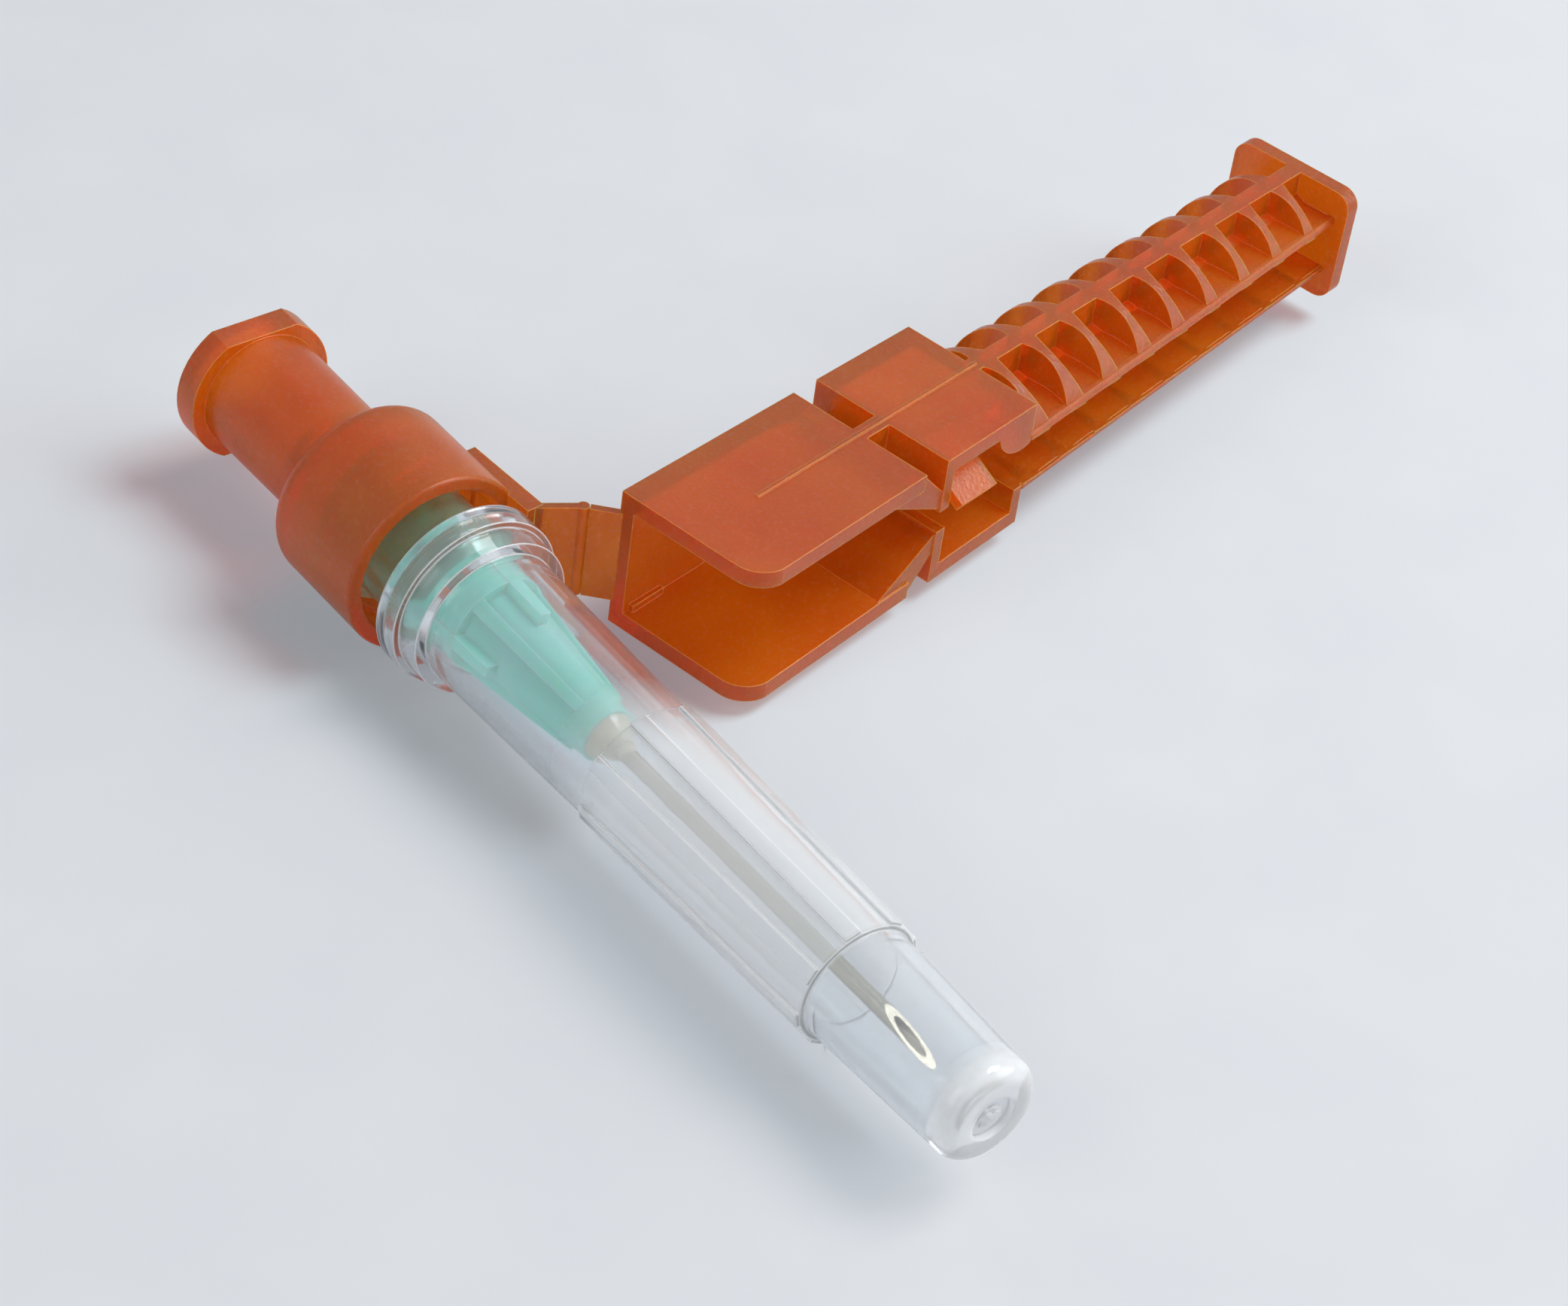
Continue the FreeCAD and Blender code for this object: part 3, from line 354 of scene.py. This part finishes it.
# %% Natural polypropylene
clear, tree, out = blank_material("natural_polypropylene_moulded")
place = add(tree, "ShaderNodeTexCoord").outputs["Object"]
rounded, rim = rim_mask(tree, 0.16 * MM, 0.16)
along = add(tree, "ShaderNodeMapping", {"Scale": (1 / (9 * MM), 1 / (1.5 * MM), 1 / (1.5 * MM))},
            {"Vector": place})
flow = noise_of(tree, along.outputs["Vector"])
haze = two_tone(tree, flow, "#EEF4FA", "#FAFDFF")
from_mouth = add(tree, "ShaderNodeSeparateXYZ", links={"Vector": place}).outputs["X"]
hub_to_ridges = ranged(tree, from_mouth, 0.92, 0.4, 31 * MM, 36 * MM)
ridges_to_tip = ranged(tree, from_mouth, 0.0, 0.3, 49.4 * MM, 49.8 * MM)
tip_to_end = ranged(tree, from_mouth, 0.0, -0.45, 57.0 * MM, 58.4 * MM)
wall = combined(tree, combined(tree, hub_to_ridges, ridges_to_tip), tip_to_end)
milky = add(tree, "ShaderNodeMix", {"B": 0.05}, {"Factor": rim, "A": wall})
leaving = add(tree, "ShaderNodeNewGeometry").outputs["Backfacing"]
open_share = add(tree, "ShaderNodeMix", {"B": 0.98}, {"Factor": leaving, "A": milky.outputs["Result"]})
face = add(tree, "ShaderNodeBsdfPrincipled",
           {"IOR": 1.49, "Subsurface Weight": 1.0, "Subsurface Radius": (1.0, 1.0, 1.0),
            "Subsurface Scale": 0.5 * MM},
           {"Base Color": haze.outputs["Color"], "Roughness": ranged(tree, flow, 0.01, 0.04),
            "Transmission Weight": open_share.outputs["Result"], "Normal": rounded})
tree.links.new(lamp_rays_pass(tree, face.outputs["BSDF"], "#EBEDEF"), out.inputs["Surface"])
print(clear.name, "has", len(tree.nodes), "nodes")

# %% [markdown]
# Where polypropylene is torn, it turns white, because the stretched plastic fills with tiny voids. The
# flash and the gate's stub are torn, so they get the same plastic with hardly any way through it.

# %% Torn polypropylene
torn_white, tree, out = blank_material("natural_polypropylene_torn")
place = add(tree, "ShaderNodeTexCoord").outputs["Object"]
whiter = two_tone(tree, noise_of(tree, place, 0.3), "#F1F5F8", "#FFFFFF")
face = add(tree, "ShaderNodeBsdfPrincipled",
           {"IOR": 1.49, "Roughness": 0.3, "Subsurface Weight": 1.0, "Subsurface Radius": (1.0, 1.0, 1.0),
            "Subsurface Scale": 0.2 * MM, "Transmission Weight": 0.3},
           {"Base Color": whiter.outputs["Color"]})
tree.links.new(face.outputs["BSDF"], out.inputs["Surface"])
print(torn_white.name, "has", len(tree.nodes), "nodes")

# %% [markdown]
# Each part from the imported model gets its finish. Light that leaves the table passes the see-through
# parts by, because a curved plastic focuses lamp light in false bright spots on the table otherwise.

# %% Give each carried-over part its finish
FINISHES = {
    "luer_adapter": orange,
    "hinge_strap": orange,
    "needle_guard": orange,
    "needle_hub": green,
    "adhesive_bead": cream,
    "cannula": steel,
    "needle_cap": clear,
}
for name, material in FINISHES.items():
    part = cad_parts[name]
    part.data.materials.clear()
    part.data.materials.append(material)
for name in ("luer_adapter", "hinge_strap", "needle_guard", "needle_hub", "needle_cap"):
    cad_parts[name].visible_diffuse = False
print("finished", len(FINISHES), "parts; light that leaves the table passes the see-through ones by")

# %% [markdown]
# A thin bead of plastic runs along each lip of the guard's channel, where the two halves of the mould
# meet, and ties the ends of the ribs together. It is a straight strip a quarter of a millimetre high,
# so it is built from two rings of points, one at each end, with a bevel modifier to soften its edges.
# LIP_ENDS says how far along the guard each end lies, and how far across it the lip is there. Both are
# in the guard's own directions, so each point is then swung open with the guard.

# %% Lay the parting bead along the channel's lips
HINGE = Vector((19.43, 6.67, 0))
SWUNG = math.radians(101.34 - 90)
LIP_ENDS = ((22.05, 10.07), (50.05, 8.97))


def on_guard(across, along, height):
    """A point of the guard, from its hinge, in millimetres across, along and up, swung open."""
    return HINGE + Matrix.Rotation(SWUNG, 3, "Z") @ Vector((across, along, height))


def lip_bead(name, under):
    """A strip along one lip; under is 1 for the upper lip and -1 for the lower."""
    mesh = bmesh.new()
    rings = []
    for along, lip in LIP_ENDS:
        back, front, brow = lip - 0.3, lip + 0.17, lip + 0.03
        section = ((back, 1.42), (front, 1.42), (front, 1.66), (brow, 1.84), (back, 1.84))
        rings.append([mesh.verts.new(on_guard(across, along, rise * under) * MM) for across, rise in section])
    count = len(rings[0])
    for k in range(count):
        mesh.faces.new((rings[0][k], rings[0][(k + 1) % count], rings[1][(k + 1) % count], rings[1][k]))
    mesh.faces.new(rings[0][::-1])
    mesh.faces.new(rings[1])
    bmesh.ops.recalc_face_normals(mesh, faces=mesh.faces)
    data = bpy.data.meshes.new(name)
    mesh.to_mesh(data)
    mesh.free()
    data.materials.append(orange)
    bead = bpy.data.objects.new(name, data)
    bpy.context.scene.collection.objects.link(bead)
    soften = bead.modifiers.new("soften", "BEVEL")
    soften.width = 0.05 * MM
    soften.segments = 2
    bead.visible_diffuse = False
    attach(bead, "guard")
    return bead


lip_bead("upper_lip_bead", 1)
lip_bead("lower_lip_bead", -1)
print("two beads along the channel, 28 mm long")

# %% [markdown]
# Two things on this needle are too small and too uneven to belong in the engineering model. The first
# is flash: plastic that crept into the gap where the cap's mould closes, and tore off in slivers at
# the end of the ridged part. Each is a ribbon that tapers to nothing and curls, so a ring of four
# points is walked along a curl, shrinking as it goes, and a subdivision modifier rounds it.

# %% Hang the flash slivers on the cap


def add_piece(name, mesh, material, body, levels=1):
    """Turn a bmesh into an object that rides on a body, smooth, with a subdivision modifier."""
    data = bpy.data.meshes.new(name)
    mesh.to_mesh(data)
    mesh.free()
    data.materials.append(material)
    for polygon in data.polygons:
        polygon.use_smooth = True
    piece = bpy.data.objects.new(name, data)
    bpy.context.scene.collection.objects.link(piece)
    rounding = piece.modifiers.new("rounding", "SUBSURF")
    rounding.levels = rounding.render_levels = levels
    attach(piece, body)
    return piece


def flash_sliver(name, turn, long, curl, steps=9):
    """A torn sliver at the end of the ridges, at this angle about the needle, this long, bent by curl."""
    angle = math.radians(turn)
    out = Vector((0, math.cos(angle), math.sin(angle)))
    side = Vector((0, -math.sin(angle), math.cos(angle)))
    mesh = bmesh.new()
    point = Vector((49.5, 0, 0)) + out * 3.08
    rings = []
    for step in range(steps):
        share = step / (steps - 1)
        bend = math.radians(curl) * share
        heading = out * math.cos(bend) + Vector((1, 0, 0)) * math.sin(bend)
        across = heading.cross(side)
        wide, thick = 0.18 * (1.05 - share), 0.07 * (1.05 - share)
        corners = (side * wide, across * thick, -side * wide, -across * thick)
        rings.append([mesh.verts.new((point + corner) * MM) for corner in corners])
        point = point + heading * long / steps
    for low_ring, high_ring in zip(rings, rings[1:]):
        for k in range(4):
            mesh.faces.new((low_ring[k], low_ring[(k + 1) % 4], high_ring[(k + 1) % 4], high_ring[k]))
    mesh.faces.new(rings[0][::-1])
    mesh.faces.new(rings[-1])
    bmesh.ops.recalc_face_normals(mesh, faces=mesh.faces)
    return add_piece(name, mesh, torn_white, "cap")


flash_sliver("cap_flash_right", 2, 0.7, 50)
flash_sliver("cap_flash_left", -112, 0.95, 75)
flash_sliver("cap_flash_left_small", -126, 0.5, -60)
print("three slivers of flash, 0.5 to 0.95 mm long")

# %% [markdown]
# In the middle of the recess in the cap's tip, the plastic was cut from its runner. The stub is torn,
# not turned, so a ball of triangles is flattened and roughened with noise, more towards its middle.

# %% Leave the gate's stub in the recess
stub = bmesh.new()
bmesh.ops.create_icosphere(stub, subdivisions=4, radius=1.0)
for vert in stub.verts:
    torn = 0.3 * noise.noise(vert.co * 3.1) + 0.12 * noise.noise(vert.co * 7.3)
    vert.co = Vector((vert.co.x * (0.2 + torn * 0.3), vert.co.y * (0.62 + torn), vert.co.z * (0.5 + torn)))
    vert.co = (vert.co + Vector((58.6, 0.05, -0.05))) * MM
add_piece("gate_stub", stub, torn_white, "cap")
print("a torn stub, 1.2 mm across")

# %% [markdown]
# The second is the last drop of adhesive, which ran a little way along the tube before it set. A drop
# is round at the front and drawn out behind, and never quite even, so a ball of triangles is stretched
# towards the hub and pushed about by a little noise.

# %% Let a drop run along the tube
drop = bmesh.new()
bmesh.ops.create_icosphere(drop, subdivisions=3, radius=1.0)
for vert in drop.verts:
    uneven = 1 + 0.1 * noise.noise(vert.co * 1.7)
    drawn_out = 1.6 if vert.co.x < 0 else 1.0
    slim = 1 - 0.35 * max(0.0, -vert.co.x)
    vert.co = Vector((vert.co.x * 0.42 * drawn_out, vert.co.y * 0.5 * slim, vert.co.z * 0.46 * slim)) * uneven
    vert.co = (vert.co + Vector((32.75, -0.04, 0.2))) * MM
add_piece("adhesive_drop", drop, cream, "needle_unit")
print("one drop of adhesive, about a millimetre long")
